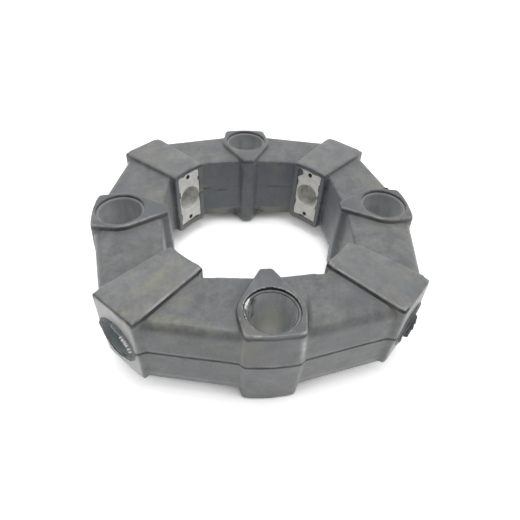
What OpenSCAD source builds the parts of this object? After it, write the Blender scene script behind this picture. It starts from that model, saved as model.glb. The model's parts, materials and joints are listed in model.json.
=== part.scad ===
// Flexible coupling element: a moulded rubber ring with four upright bolt bosses
// and four radial bolt blocks, metal sleeves in the bosses and metal inserts in the blocks.
// Origin: on the ring's axis, at the plane on which the four bosses stand. Front is -Y.

/* [Overall] */
// Distance across the outer faces of two opposite radial blocks
block_span = 207.5; // [190:0.5:225]
// Height of the parting plane and of the radial bolts above the standing plane
mid_z = 32; // [30:0.5:34]
// Radius of the hub that the inserts seat on
hub_r = 58; // [54:0.5:62]

/* [Axial bosses] */
// Height of a boss
boss_h = 55; // [53:0.5:60]
// Radius of the circle that the upright bolt holes lie on
axial_bolt_r = 77.9; // [75:0.1:80]
// Distance of a boss's flat outer face from the axis
boss_face = 92.4; // [91:0.1:95]
// Width of that outer face
boss_face_w = 29; // [24:0.1:30]
// How far a boss swells at the parting plane on each side
boss_swell = 1.5; // [0.5:0.1:2.5]
// Rubber round the sleeve at the boss's widest point
boss_wall = 3; // [2:0.1:4]
// Distance of a boss's narrow inner tip from the axis
tip_face = 50.8; // [48:0.1:54]
// Width of the tip
tip_w = 7.8; // [6:0.1:12]
// Edge radius of a boss
boss_edge = 1.3; // [0.5:0.1:2]
// Radius that rounds off the lower end of the tip's rib
tip_round = 5; // [2:0.5:8]

/* [Radial blocks] */
// Height of a block's top face
block_top = 54.5; // [52.5:0.1:58]
// Height of a block's underside
block_bottom = 8.5; // [7:0.1:10]
// Width of a block at its outer face
block_w = 30.8; // [27:0.1:33]
// Width of a block at the hub
block_inner_w = 25.5; // [23:0.5:27]
// Edge radius of a block
block_edge = 1.2; // [0.5:0.1:2]
// How far the rubber stands proud of the inserts' bare faces
hub_face_proud = 0.8; // [0.3:0.1:2]
// Radius of the bolt head hole in the rubber
head_hole_r = 11.3; // [10:0.1:12]
// How far the moulded lip round that hole stands out
lip_h = 1.6; // [0.5:0.1:3]
// Thickness of the lip
lip_wall = 1.6; // [1:0.1:2.5]

/* [Legs] */
// Height of a leg's top face
leg_top = 52; // [49:0.1:53]
// Height of a leg's underside
leg_bottom = 6; // [4:0.1:7]
// Distance of a leg's outer line from the axis, beside a boss at the parting plane
leg_outer = 94.8; // [94:0.1:96]
// Slant of a leg's outer line in plan, in degrees
leg_outer_slant = 12.3; // [11:0.05:14]
// Distance of a leg's inner line from the axis, beside a boss at the parting plane
leg_inner = 54.5; // [53:0.1:57]
// Slant of a leg's inner line in plan, in degrees
leg_inner_slant = 5.4; // [4:0.1:7]
// Radius of the leg's rounded outer top edge
leg_round = 5.6; // [3:0.1:9]
// Size of the leg's softened inner top edge
leg_inner_round = 1.5; // [0.8:0.1:3]
// Height of the skirt along a leg's underside
skirt_h = 7.3; // [5:0.1:9]
// How far the skirt is set in from the leg's wall
skirt_set = 0.5; // [0.2:0.1:1]
// How far the skirt narrows down to the underside
skirt_taper = 1.2; // [0.5:0.1:2]

/* [Axial sleeves] */
// Radius of the bolt hole in a sleeve
sleeve_bore_r = 12; // [8:0.1:12.5]
// Wall of a sleeve
sleeve_wall = 1.3; // [1:0.1:2]
// Depth of a sleeve's upper end below the boss's top
sleeve_recess = 1.8; // [1:0.1:3]
// Chamfer inside both ends of a sleeve
sleeve_chamfer = 0.5; // [0.2:0.1:0.7]

/* [Radial inserts] */
// Width of the insert's bare face at the hub
insert_w = 17.6; // [17:0.1:19]
// Height of that face
insert_h = 38; // [36:0.5:40]
// Depth of the insert from the hub to the bolt head's seat
insert_depth = 27; // [20:0.5:32]
// Radius of the insert's round collar under the bolt's head
insert_collar_r = 13.6; // [12:0.1:15]
// Thickness of that collar
insert_collar_h = 6; // [4:0.5:9]
// Radius of the radial bolt hole
insert_bore_r = 8.3; // [5:0.1:8.4]
// Corner radius of the bare face
insert_corner = 1; // [0.5:0.1:2]
// Radius of a locating hole
pin_hole_r = 1.5; // [1:0.1:1.6]
// Distance between the two locating holes
pin_spacing = 32.6; // [30:0.1:33]
// Depth of a locating hole
pin_depth = 5; // [3:0.5:8]

/* [Mould] */
// Draft of the leg and block walls away from the parting plane, in degrees
draft = 1.4; // [1:0.1:2.5]

/* [Hidden] */
NODES = ["rubber_body",
         "axial_sleeve_front", "axial_sleeve_right", "axial_sleeve_back", "axial_sleeve_left",
         "radial_insert_front_right", "radial_insert_back_right",
         "radial_insert_back_left", "radial_insert_front_left"];
sleeve_nodes = [for (i = [1:4]) NODES[i]];
insert_nodes = [for (i = [5:8]) NODES[i]];
block_face = block_span / 2;
sleeve_r = sleeve_bore_r + sleeve_wall;
bulge_r = sleeve_r + boss_wall;
insert_seat = hub_r + insert_depth;
hub_face_r = hub_r - hub_face_proud;
// Cuts run past the solids that they cut by this much
over = 5;
// Length of the long prisms that are trimmed to legs and blocks
reach = 200;
// The legs run this far into the bosses and blocks
root = 2.6;
// Thickness of the thin slices that a boss is drawn round
skin = 0.01;
// Flats that make up a block's upright corner
corner_flats = 4;
$fn = 96;

// Turns what is drawn at the front (-Y) to one of the four bosses
function boss_turn(i) = 90 * i;
// Turns it to one of the four blocks, anticlockwise from the front right
function block_turn(i) = 45 + 90 * i;

// Everything below is drawn with "outwards" along +X, then turned so that the
// first station is at the front
module station(turn) {
    rotate(turn - 90)
        children();
}

// A block's wall seen end on: X is outwards from the wall's foot at the parting plane, Y is
// the height. The wall leans in by the draft, away from the parting plane, and its edges
// are softened in two flats.
module block_section() {
    edge = block_edge;
    soft = edge * (1 - sqrt(1 / 2));
    low_x = -(mid_z - block_bottom) * tan(draft);
    top_x = -(block_top - mid_z) * tan(draft);
    polygon([
        [-reach, block_bottom],
        [low_x - edge, block_bottom],
        [low_x - soft, block_bottom + soft],
        [low_x, block_bottom + edge],
        [0, mid_z],
        [top_x, block_top - edge],
        [top_x - soft, block_top - soft],
        [top_x - edge, block_top],
        [-reach, block_top]
    ]);
}

// The same for a leg, whose foot is a skirt set in from the wall. Its upper edge is
// round where it is wide, and otherwise softened in two flats.
module leg_section(top_round, wide) {
    skirt_z = leg_bottom + skirt_h;
    wall_x = -(mid_z - skirt_z) * tan(draft);
    low_x = wall_x - skirt_set - skirt_taper;
    low_round = skirt_taper;
    top_x = -(leg_top - mid_z) * tan(draft);
    soft = wide ? top_round / 2 : top_round * (1 - sqrt(1 / 2));
    polygon([
        [-reach, leg_bottom],
        [low_x - low_round, leg_bottom],
        [low_x, leg_bottom + low_round],
        [wall_x - skirt_set, skirt_z - skirt_set],
        [wall_x, skirt_z],
        [0, mid_z],
        [top_x, leg_top - top_round],
        [top_x - soft, leg_top - soft],
        [top_x - top_round, leg_top],
        [-reach, leg_top]
    ]);
    translate([low_x - low_round, leg_bottom + low_round])
        circle(low_round);
    if (wide)
        translate([top_x - top_round, leg_top - top_round])
            circle(top_round);
}

// A long wall whose face is at the given distance, running along Y
module wall(distance) {
    translate([distance, 0, 0])
        rotate([90, 0, 0])
            linear_extrude(reach, center = true)
                children();
}

// Plan of one leg's half ring sector: from the middle of a boss to the inside of a block
module leg_plan() {
    side = block_inner_w / 2 - root;
    corner_r = block_face - root;
    diagonal = function (r, y) [r + y, r - y] / sqrt(2);
    polygon([
        [hub_r / 2, 0],
        [boss_face - root, 0],
        [boss_face - root, boss_face_w / 2 - root],
        [reach, boss_face_w / 2 - root],
        [reach, block_span / 8],
        diagonal(block_face, block_w / 2),
        diagonal(corner_r, side),
        diagonal(hub_face_r + root, side),
        [hub_r / 2, hub_r / 4]
    ]);
}

// The leg on the anticlockwise side of a boss
module leg() {
    intersection() {
        linear_extrude(boss_h)
            leg_plan();
        rotate(leg_outer_slant)
            wall(leg_outer * cos(leg_outer_slant))
                leg_section(leg_round, true);
        rotate(180 + leg_inner_slant)
            wall(-leg_inner * cos(leg_inner_slant))
                leg_section(leg_inner_round, false);
    }
}

// How far a round of the given radius lies inside its corner at a distance from its face
function round_inset(radius, distance) =
    distance >= radius ? 0 : radius - sqrt(radius * radius - (radius - distance) * (radius - distance));

// Outline of a boss in plan, set in by the given amount: flat outer end, round bulge
// at the bolt hole and narrow inner tip. The tip draws back by an amount of its own.
module boss_outline(inset, tip_inset) {
    corner = 2 * boss_edge;
    translate([axial_bolt_r, 0])
        circle(bulge_r - inset, $fn = 48);
    for (side = [-1, 1]) {
        translate([boss_face - corner, side * (boss_face_w / 2 - corner)])
            circle(corner - inset, $fn = 16);
        translate([tip_face + boss_edge + tip_inset, side * (tip_w / 2 - boss_edge - tip_inset / 3)])
            circle(max(boss_edge - inset, skin), $fn = 16);
    }
}

// One boss as it is moulded: swollen at the parting plane, rounded at its ends, with
// the lower end of the tip's rib rounded off. Its levels run from the underside up.
module boss() {
    soft = boss_edge * (1 - sqrt(1 / 2));
    low = [0, soft, boss_edge, tip_round / 2, tip_round];
    high = [boss_h - boss_edge, boss_h - soft, boss_h - skin];
    hull() {
        for (z = concat(low, high))
            translate([0, 0, z])
                linear_extrude(skin)
                    boss_outline(round_inset(boss_edge, min(z, boss_h - z)), round_inset(tip_round, z));
        translate([0, 0, mid_z])
            linear_extrude(skin)
                boss_outline(-boss_swell, boss_swell / 2);
    }
}

// Side wall of a block, tapered towards the hub
module block_side(side) {
    taper = atan((block_w - block_inner_w) / 2 / (block_face - hub_face_r));
    translate([block_face, side * block_w / 2, 0])
        rotate(side * (90 + taper))
            wall(0)
                block_section();
}

// Plan that trims a block: its outer corners in short flats round a circle, and a
// concave face towards the hub. The drafted walls make the straight sides, inside this plan.
module block_plan() {
    corner = 2 * block_edge;
    step = 90 / corner_flats;
    flat_r = corner / cos(step / 2);
    centre = [block_face - corner, block_w / 2 - corner];
    round_end = [for (angle = [0:step:90]) centre + flat_r * [cos(angle), sin(angle)]];
    upper = concat(round_end, [[hub_face_r - over, block_w]]);
    lower = [for (i = [len(upper) - 1:-1:0]) [upper[i][0], -upper[i][1]]];
    difference() {
        polygon(concat(lower, upper));
        rotate(180)
            circle(hub_face_r, $fn = 180);
    }
}

// One block before its holes: tapered in plan, drafted, with rounded edges
module block() {
    intersection() {
        linear_extrude(boss_h)
            block_plan();
        wall(block_face)
            block_section();
        block_side(-1);
        block_side(1);
    }
}

// The hub that the inserts seat on
module hub_space() {
    translate([0, 0, -over])
        cylinder(h = boss_h + 2 * over, r = hub_r, $fn = 180);
}

// Moulded lip round a radial bolt head hole
module lip() {
    translate([block_face - over, 0, mid_z])
        rotate([0, 90, 0])
            cylinder(h = over + lip_h, r = head_hole_r + lip_wall);
}

// Bolt head hole through the rubber, down to the insert
module head_hole() {
    translate([insert_seat, 0, mid_z])
        rotate([0, 90, 0])
            cylinder(h = block_face - insert_seat + lip_h + over, r = head_hole_r);
}

// The insert's outer form, from the axis outwards, which is also its pocket in the
// rubber: a flat-sided body with a round collar under the bolt's head
module insert_form() {
    translate([0, 0, mid_z])
        rotate([90, 0, 90])
            linear_extrude(insert_seat - insert_collar_h / 2)
                insert_face();
    translate([insert_seat - insert_collar_h, 0, mid_z])
        rotate([0, 90, 0])
            cylinder(h = insert_collar_h, r = insert_collar_r);
}

// The insert's bare face, seen from the hub
module insert_face() {
    half_w = insert_w / 2;
    half_h = insert_h / 2;
    square([insert_w - 2 * insert_corner, insert_h], center = true);
    square([insert_w, insert_h - 2 * insert_corner], center = true);
    for (x = [-1, 1])
        for (y = [-1, 1])
            translate([x * (half_w - insert_corner), y * (half_h - insert_corner)])
                circle(insert_corner);
}

module rubber_body() {
    color("dimgray")
        difference() {
            union() {
                for (i = [0:3]) {
                    station(boss_turn(i)) {
                        boss();
                        leg();
                        mirror([0, 1, 0])
                            leg();
                    }
                    station(block_turn(i)) {
                        block();
                        lip();
                    }
                }
            }
            for (i = [0:3]) {
                station(boss_turn(i))
                    translate([axial_bolt_r, 0, -over])
                        cylinder(h = boss_h + 2 * over, r = sleeve_r);
                station(block_turn(i)) {
                    head_hole();
                    insert_form();
                }
            }
        }
}

module axial_sleeve(i) {
    length = boss_h - sleeve_recess;
    inner = sleeve_bore_r;
    color("silver")
        station(boss_turn(i))
            translate([axial_bolt_r, 0, 0])
                rotate_extrude()
                    polygon([
                        [inner + sleeve_chamfer, 0],
                        [sleeve_r, 0],
                        [sleeve_r, length],
                        [inner + sleeve_chamfer, length],
                        [inner, length - sleeve_chamfer],
                        [inner, sleeve_chamfer]
                    ]);
}

module radial_insert(i) {
    color("gainsboro")
        station(block_turn(i))
            difference() {
                insert_form();
                hub_space();
                translate([0, 0, mid_z])
                    rotate([0, 90, 0])
                        cylinder(h = insert_seat + over, r = insert_bore_r);
                for (side = [-1, 1])
                    translate([0, 0, mid_z + side * pin_spacing / 2])
                        rotate([0, 90, 0])
                            cylinder(h = hub_r + pin_depth, r = pin_hole_r);
            }
}

rubber_body();
for (i = [0:3]) axial_sleeve(i);
for (i = [0:3]) radial_insert(i);
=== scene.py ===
"""Looks of a moulded rubber coupling element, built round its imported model.

The file is laid out as an add-on: settings in property groups, one operator for each
piece or group of like pieces, one for the stage, and a panel that lists them.
All places are in the model's own frame, in metres, with +Z up and the front at -Y.
"""
import json
import math

import bmesh
import bpy
import numpy as np
from bpy.props import FloatProperty, FloatVectorProperty, IntProperty, PointerProperty
from mathutils import Matrix, Vector, noise


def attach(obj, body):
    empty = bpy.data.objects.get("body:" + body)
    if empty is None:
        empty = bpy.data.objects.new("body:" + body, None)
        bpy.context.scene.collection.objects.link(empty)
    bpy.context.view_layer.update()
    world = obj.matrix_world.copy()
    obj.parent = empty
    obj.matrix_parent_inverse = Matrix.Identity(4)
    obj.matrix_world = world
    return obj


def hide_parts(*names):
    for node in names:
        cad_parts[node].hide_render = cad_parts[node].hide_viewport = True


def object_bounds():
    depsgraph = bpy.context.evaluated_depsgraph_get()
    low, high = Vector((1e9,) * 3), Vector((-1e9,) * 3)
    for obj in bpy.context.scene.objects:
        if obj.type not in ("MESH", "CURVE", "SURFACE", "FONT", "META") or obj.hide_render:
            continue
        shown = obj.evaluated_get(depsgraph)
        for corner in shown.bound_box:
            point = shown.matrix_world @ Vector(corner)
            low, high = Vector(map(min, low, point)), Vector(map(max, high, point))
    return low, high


bl_info = {
    "name": "Rubber Coupling Looks",
    "version": (1, 0, 0),
    "blender": (4, 5, 0),
    "location": "3D View > Sidebar > Coupling",
    "description": "Moulded rubber, torn collars, bonded metal and a plain stage",
    "category": "Object",
}

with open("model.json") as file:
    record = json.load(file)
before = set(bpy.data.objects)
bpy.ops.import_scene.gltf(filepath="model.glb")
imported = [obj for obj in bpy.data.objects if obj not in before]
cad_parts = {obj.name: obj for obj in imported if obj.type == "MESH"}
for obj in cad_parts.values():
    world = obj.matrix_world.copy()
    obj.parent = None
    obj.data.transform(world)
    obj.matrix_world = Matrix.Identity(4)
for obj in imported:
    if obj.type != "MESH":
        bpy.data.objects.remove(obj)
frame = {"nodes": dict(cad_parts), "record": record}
CAD_BOX = [list(corner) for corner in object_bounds()]
MOUNTS = {mount["name"]: mount for mount in frame["record"]["mounts"]}
MM = 0.001
BODY = "root"
# Directions of the stations, in degrees anticlockwise from +X
BLOCKS = {"front_right": -45, "back_right": 45, "back_left": 135, "front_left": 225}
BOSSES = {"front": -90, "right": 0, "back": 90, "left": 180}


def length_prop(name, description, default, least=0):
    """A setting for a length, in metres."""
    return FloatProperty(
        name=name, description=description, default=default, min=least, unit="LENGTH", precision=5)


def colour_prop(name, description, default):
    """A setting for a colour."""
    return FloatVectorProperty(
        name=name, description=description, default=default, size=3, min=0, max=1, subtype="COLOR")


class CouplingSizes(bpy.types.PropertyGroup):
    """Sizes of the finish on the moulded body and of its torn collars."""

    skin_step: length_prop(
        "Skin step", "Edge length of the even skin that the moulded form gets", 0.6 * MM,
        least=0.4 * MM)
    edge_passes: IntProperty(
        name="Edge passes", description="Smoothing passes that soften the moulded edges",
        default=5, min=0, max=20)
    skin_share: FloatProperty(
        name="Skin share", description="Share of the even skin's faces that is kept",
        default=0.205, min=0.05, max=1.0, subtype="FACTOR")
    wave_height: length_prop(
        "Wave height", "How far the moulded faces wander inwards from flat", 0.22 * MM)
    wave_length: length_prop(
        "Wave length", "Typical length of those waves", 14 * MM, least=5 * MM)
    parting_z: length_prop(
        "Parting height", "Height of the line where the mould's halves met",
        MOUNTS["radial_bore_front_left"]["pos_m"][2])
    parting_depth: length_prop(
        "Parting depth", "Depth of the fine groove along the parting line", 0.35 * MM)
    parting_half_width: length_prop(
        "Parting half width", "Half the width of that groove", 0.75 * MM, least=0.1 * MM)
    corner_passes: IntProperty(
        name="Corner passes", description="Smoothing passes that round the blocks' upright corners",
        default=21, min=0, max=100)
    corner_reach: length_prop(
        "Corner reach", "How far from a corner that rounding reaches", 4.5 * MM, least=1 * MM)
    block_half_width: length_prop(
        "Block half width", "Half the width of a block at its outer end", 15.4 * MM)
    hub_half_width: length_prop("Hub half width", "Half the width of a block at its hub face", 12.75 * MM)
    block_face: length_prop("Block face", "Distance of a block's outer face from the axis", 103.75 * MM)
    boss_face: length_prop("Boss face", "Distance of a boss's outer corners from the axis", 92.4 * MM)
    boss_swell: length_prop("Boss swell", "How far a boss swells at the parting line", 1.5 * MM)
    bulge_kept: FloatProperty(
        name="Bulge kept", description="Share of the outer face's bulge that the skin keeps",
        default=0.4, min=0, max=1, subtype="FACTOR")
    lip_height: length_prop(
        "Lip height", "How far the moulded lip stands out from the block's face", 1.6 * MM)
    collar_bore: length_prop("Collar bore", "Inner radius of a torn collar", 11.32 * MM)
    collar_wall: length_prop("Collar wall", "Thickness of a torn collar at its foot", 1.58 * MM)
    collar_flare: length_prop(
        "Collar flare", "How far a torn collar's foot spreads on the block's face", 0.4 * MM)
    collar_rim: length_prop("Collar rim", "Thickness of a torn collar at its ragged rim", 0.35 * MM)


class CouplingColours(bpy.types.PropertyGroup):
    """Colours of the rubber, the metal and what lies on them, also used for painted light and shade."""

    rubber: colour_prop("Rubber", "Clean moulded rubber", (0.160, 0.166, 0.170))
    # Also laid on convex edges as pale wear and painted highlights, and on some smudges as painted
    # highlights
    dust: colour_prop("Dust", "Pale film of dust and release agent on the rubber", (0.300, 0.302, 0.300))
    # Painted highlight along the upper edges that face the front and on the front boss's upright corners
    pale: colour_prop("Pale wear", "Rubbed pale edges that catch the light", (0.57, 0.57, 0.565))
    # Also the tone of the inner skirts, painted light standing for light from the floor
    olive: colour_prop(
        "Olive smudge", "Tan smudges left by the mould's release agent", (0.290, 0.288, 0.235))
    blue: colour_prop("Blue smudge", "Cool smudges on the rubber", (0.150, 0.176, 0.205))
    # Used for real grime and also as painted shade in hollows, recesses, under edges and on shoulders
    dirt: colour_prop("Dirt", "Dark dirt in grooves and corners", (0.030, 0.033, 0.035))
    # Also the white of painted highlights on torn rims and on the front hole's rim bits
    torn: colour_prop("Torn rubber", "Pale torn edges of the thin rubber", (0.95, 0.95, 0.93))
    fresh: colour_prop(
        "Fresh rubber", "Dark rubber of the torn collars, free of dust", (0.088, 0.098, 0.104))
    sleeve: colour_prop("Sleeve metal", "Steel of the upright sleeves", (0.33, 0.335, 0.34))
    sleeve_film: colour_prop("Sleeve film", "Grey film inside the sleeves", (0.76, 0.78, 0.79))
    sleeve_streak: colour_prop(
        "Sleeve streaks", "Darker streaks down the inside of the sleeves", (0.54, 0.55, 0.55))
    bore: colour_prop("Insert bore", "Grey brown film inside the inserts' holes", (1.0, 0.99, 0.94))
    insert: colour_prop("Insert metal", "Bare metal of the hub faces", (1.0, 0.975, 0.93))


class CouplingStage(bpy.types.PropertyGroup):
    """Camera, lamps and background."""

    focal_px: FloatProperty(
        name="Focal length in pixels", description="Focal length in the photograph's pixels",
        default=420.5, min=100, max=5000)
    eye: FloatVectorProperty(
        name="Camera place", description="Where the camera stands", subtype="TRANSLATION",
        size=3, default=(-0.02576, -0.19742, 0.20447), precision=5)
    target: FloatVectorProperty(
        name="Camera target", description="Point that the camera looks at", subtype="TRANSLATION",
        size=3, default=(0.001055, -0.021848, 0.0336), precision=5)
    roll: FloatProperty(
        name="Camera roll", description="Turn of the camera about its own line of sight",
        default=math.radians(4.068), subtype="ANGLE", unit="ROTATION")
    sky_strength: FloatProperty(
        name="Sky strength", description="Even light from all round", default=0.90, min=0, max=2)
    dim_strength: FloatProperty(
        name="Dim patch strength", description="Light from the photographer's side", default=0.20,
        min=0, max=2)
    dim_centre: FloatVectorProperty(
        name="Dim patch direction", description="Middle of the dim patch behind the camera",
        subtype="DIRECTION", size=3, default=(-0.34, -0.77, 0.54))
    key_power: FloatProperty(
        name="Key power", description="Power of the large soft lamp overhead",
        default=2.0, min=0, max=100, unit="POWER")


# Radius of the hub that the inserts' bare faces seat on
HUB_SEAT_R = 58 * MM
# Distance of the rubber round the hub faces from the axis
HUB_FACE = 57.6 * MM
# Height of a boss
BOSS_TOP = CAD_BOX[1][2]
# Radius of the circle on which the upright bolts stand
BOLT_CIRCLE_R = MOUNTS["axial_bolts"]["dims"]["pcd_mm"] / 2 * MM
# Radii round the holes within which the rubber is left alone: blocks' holes and bosses' holes
BLOCK_HOLE_R = 13.4 * MM
BOSS_HOLE_R = 13.7 * MM
# Radii of an insert's bolt hole and of its small holes, and how far above and below it these lie
BORE_MASK_R = 8.45 * MM
PIN_MASK_R = 1.55 * MM
PIN_OFFSET = 16.3 * MM
# The camera's sensor width, and the photograph's size and middle of view
SENSOR_MM = 36.0
IMAGE_PX = 520
PRINCIPAL_PX = (260.03, 257.44)
# Half the floor's width, its grey, what it shows the camera beyond that, and how near the part
# has to be for the painted contact shadow to darken it
FLOOR_HALF_WIDTH = 1.5
FLOOR_GREY = (0.94, 0.94, 0.94)
FLOOR_GLOW = 0.62
SHADOW_REACH = 16 * MM
# Width and height of the lamp overhead
KEY_SIZE = 0.35
KEY_HEIGHT = 0.9
# Where the dim patch starts and where it is full, as cosines of the angle from its middle
DIM_PATCH = (0.40, 0.86)
# Further smoothing passes for the corners of a block that came out rounder
MORE_CORNER_PASSES = {"front_right": 24}
# Distance within which the points of a solid's loose triangles are joined
MERGE_GAP = 0.002 * MM

# Pale tones on the blocks' outer ends and in their holes: dust, and painted light that is strongest on the
# front-left block
END_DUST_AND_LIGHT = (0.66, 0.66, 0.65)
HOLE_DUST_AND_LIGHT = (0.50, 0.55, 0.57)
# Sleeves: line at the front ring's inner edge, stain low inside, painted shade near the others' upper ends
SLEEVE_LINE = (0.08, 0.08, 0.08)
SLEEVE_TAN = (0.95, 0.93, 0.80)
SLEEVE_SHADE = (0.42, 0.43, 0.44)
# Inserts: fine specks, faint smears, and painted shade inside the small locating holes
INSERT_SPECK = (0.20, 0.195, 0.185)
INSERT_SMEAR = (0.46, 0.44, 0.41)
PIN_HOLE_SHADE = (0.25, 0.25, 0.24)

# Height of the torn collar above the block's face, in millimetres, by the angle round its
# hole in degrees: 0 is the station's anticlockwise side and 90 is the top
COLLAR_HEIGHTS = {
    "front_right": ((-170, 0.5), (-140, 0.3), (-105, 0.8), (-84, 0.3), (-79, 2.3), (-60, 2.6), (-43, 2.2),
                    (-22, 1.8), (-14, 0.3), (-5, 0.25), (10, 0.4), (45, 0.5), (90, 1.1), (135, 0.9)),
    "back_right": ((-160, 1.2), (-110, 0.6), (-60, 1.5), (-30, 0.5), (20, 1.0), (70, 1.7), (120, 0.7)),
    "back_left": ((-150, 0.6), (-100, 1.4), (-50, 0.8), (0, 1.3), (50, 0.5), (80, 1.6), (140, 1.1)),
    "front_left": ((-170, 0.5), (-135, 0.8), (-100, 1.2), (-60, 0.7), (-30, 1.3), (0, 1.8), (45, 2.0),
                   (80, 1.6), (100, 0.8), (135, 0.6), (160, 1.0)),
}
# Where a torn rim carries a painted highlight, from and to an angle, and how pale it is
HIGHLIT_RIMS = {"front_left": (5, 92, 0.55)}
# Angles at which a raised tooth on a torn rim is painted white as a highlight, and half the width of a tooth
HIGHLIT_TEETH = {"front_left": (54, 47.5, 42, 37, 32, 22, 13)}
TOOTH_HALF_DEGREES = 2.0
# Torn bits on the rims of the upright holes: station, angle in degrees and radius in millimetres
# round the hole, height, half sizes along the rim, across it and upright, and paleness, where
# -1 is black
TORN_BITS = (
    # The white front bits stand for highlights on the front hole's rim: painted highlights; the black bits
    # are crumbs
    ("front", 167, 12.50, 53.8, 1.1, 0.60, 0.75, 1.0),
    ("front", 160, 12.40, 53.9, 1.3, 0.70, 0.80, 1.0),
    ("front", 151, 12.40, 54.0, 1.4, 0.60, 0.65, 1.0),
    ("front", 144, 12.75, 53.9, 0.7, 0.30, 0.40, 0.8),
    ("front", -172, 12.90, 53.8, 0.6, 0.35, 0.45, 0.6),
    ("front", -164, 12.95, 53.8, 0.5, 0.30, 0.40, 0.6),
    ("right", 71, 16.2, 54.2, 0.9, 0.60, 0.40, -1),
    ("right", 66, 17.2, 54.2, 1.3, 0.80, 0.65, -1),
    ("right", 60.5, 15.9, 54.2, 1.0, 0.70, 0.45, -1),
)
# Rubber film over the edges of each hub face: place across and above the middle, and half
# sizes across and upright, in millimetres; and its half thickness
EDGE_FILM = {
    "back_right": ((7.9, 15.8, 2.2, 2.6), (8.6, 8.0, 0.5, 2.5), (8.7, -9.0, 0.5, 3.0),
                   (-8.6, 10.0, 0.5, 2.4), (-8.6, 2.5, 0.6, 1.2), (-8.7, -6.0, 0.45, 2.0),
                   (-3.0, 18.8, 2.4, 0.5), (2.0, -18.7, 2.0, 0.4)),
    "back_left": ((8.6, 6.0, 0.5, 3.0), (8.6, -12.0, 0.45, 2.4), (-8.5, 12.0, 0.6, 1.6),
                  (-8.7, -3.0, 0.5, 3.0), (4.0, 18.7, 2.0, 0.5), (-5.0, -18.7, 2.4, 0.5)),
    "front_left": ((8.6, 4.0, 0.5, 3.0), (-8.6, -8.0, 0.5, 3.0)),
    "front_right": ((8.6, -5.0, 0.5, 3.0), (-8.6, 9.0, 0.5, 3.0)),
}
FILM_HALF_THICKNESS = 0.28 * MM

# Scratches and stains inside the front sleeve: middle in millimetres, direction in degrees,
# half sizes along it, across it and upright, colour and strength
BORE_MARKS = (
    ((3.7, -66.5, 39.7), 0, (0.9, 2.5, 0.5), (1.0, 1.0, 1.0), 1.2),
    ((6.0, -67.5, 40.7), 0, (0.5, 2.5, 1.2), (1.0, 1.0, 1.0), 1.0),
    ((5.8, -67.4, 35.0), 0, (0.5, 2.5, 1.6), (1.0, 1.0, 1.0), 0.9),
    ((-8.4, -69.4, 50.0), 40, (3.0, 3.5, 7.0), (0.16, 0.16, 0.15), 1.1),
    ((-8.0, -69.0, 41.0), 40, (2.0, 3.5, 6.0), (0.18, 0.18, 0.17), 0.9),
    ((-10.0, -71.2, 44.0), 40, (1.5, 3.5, 9.0), (0.20, 0.20, 0.19), 0.8),
)
# The tan stain low in that sleeve
TAN_STAIN = ((3, -66, 26), 0, (11, 6, 24))
# Smudges on the rubber, some of them painted highlights and painted shade as noted below: middle in
# millimetres, direction in degrees, half sizes along it, across it and upright, colour and strength
SMUDGES = (
    ((-54, -55, 54), 48, (26, 4.5, 4), "olive", 0.9),
    ((-66, -76, 54), -20, (7, 4, 4), "olive", 0.8),
    ((-47, -79, 51), -8, (17, 4.5, 4), "olive", 0.8),
    ((-28, -84, 50), -9, (17, 4, 4), "olive", 0.6),
    ((39, -74, 52), 10, (11, 7, 4), "dirt", 0.30),
    ((36, -82, 51), 15, (14, 3, 4), "dirt", 0.22),
    ((67, -49, 54), -69, (7, 4, 4), "blue", 0.9),
    ((-78, -58, 54), 60, (16, 12, 4), "dust", 0.5),
    ((79, -20, 52), -56, (12, 2.5, 4), "dust", 0.5),
    ((77, -27, 52), -50, (8, 2, 4), "dirt", 0.3),
    ((28, -83, 50), 10, (8, 3, 4), "olive", 0.5),
    ((-80, 20, 52), 70, (18, 5, 4), "blue", 0.6),
    ((62, 58, 54), 40, (14, 5, 4), "blue", 0.7),
    ((63, -63, 54), -45, (32, 20, 4), "dirt", 0.07),
    ((86, -38, 51), -62, (26, 12, 4), "dust", 0.25),
    ((8, -94, 45), 0, (6, 3, 4), "dust", 0.3),
    # These three light the front boss's upright corners: painted highlights
    ((13.4, -92.6, 44), 40, (2.4, 5, 13), "pale", 0.9),
    ((14.0, -92.2, 20), 45, (2.0, 5, 13), "dust", 0.7),
    ((-14.3, -91.8, 40), -45, (1.2, 5, 13), "dust", 0.7),
    # These three darken the front boss's right side wall and the walls under its top edge: painted shade
    ((17.2, -79, 53), 82, (13, 1.8, 4), "dirt", 0.8),
    ((-12.5, -91.3, 52.2), 15, (5, 3, 1.6), "dirt", 1.0),
    ((11, -92.2, 52.2), -10, (5, 3, 1.6), "dirt", 0.9),
    ((-31.5, 50.5, 33.6), 0, (4, 6, 1.2), "dust", 0.9),
    ((-31.0, 50.5, 31.6), 0, (6, 6, 1.5), "dirt", 1.2),
    ((-19.5, 52.8, 29.6), 3, (7, 5, 1.3), "dirt", 1.1),
    # These two darken both sides of the back boss's inner foot: painted shade
    ((-9, 55.6, 8.5), 0, (7, 6, 5), "dirt", 1.0),
    ((8.5, 55.8, 8.5), 0, (6, 6, 5), "dirt", 0.9),
)


def sizes():
    """The current sizes."""
    return bpy.context.scene.coupling_sizes


def colours():
    """The current colours."""
    return bpy.context.scene.coupling_colours


def stage():
    """The current stage settings."""
    return bpy.context.scene.coupling_stage


def linked(name, data):
    """A new object in the scene."""
    made = bpy.data.objects.new(name, data)
    bpy.context.scene.collection.objects.link(made)
    return made


def edited(mesh, *steps):
    """Takes a mesh through steps that work on a bmesh, and gives it back."""
    bm = bmesh.new()
    bm.from_mesh(mesh)
    for step in steps:
        step(bm)
    bm.to_mesh(mesh)
    bm.free()
    return mesh


def face_outwards(bm):
    """Turns all normals outwards."""
    bmesh.ops.recalc_face_normals(bm, faces=bm.faces)


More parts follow.
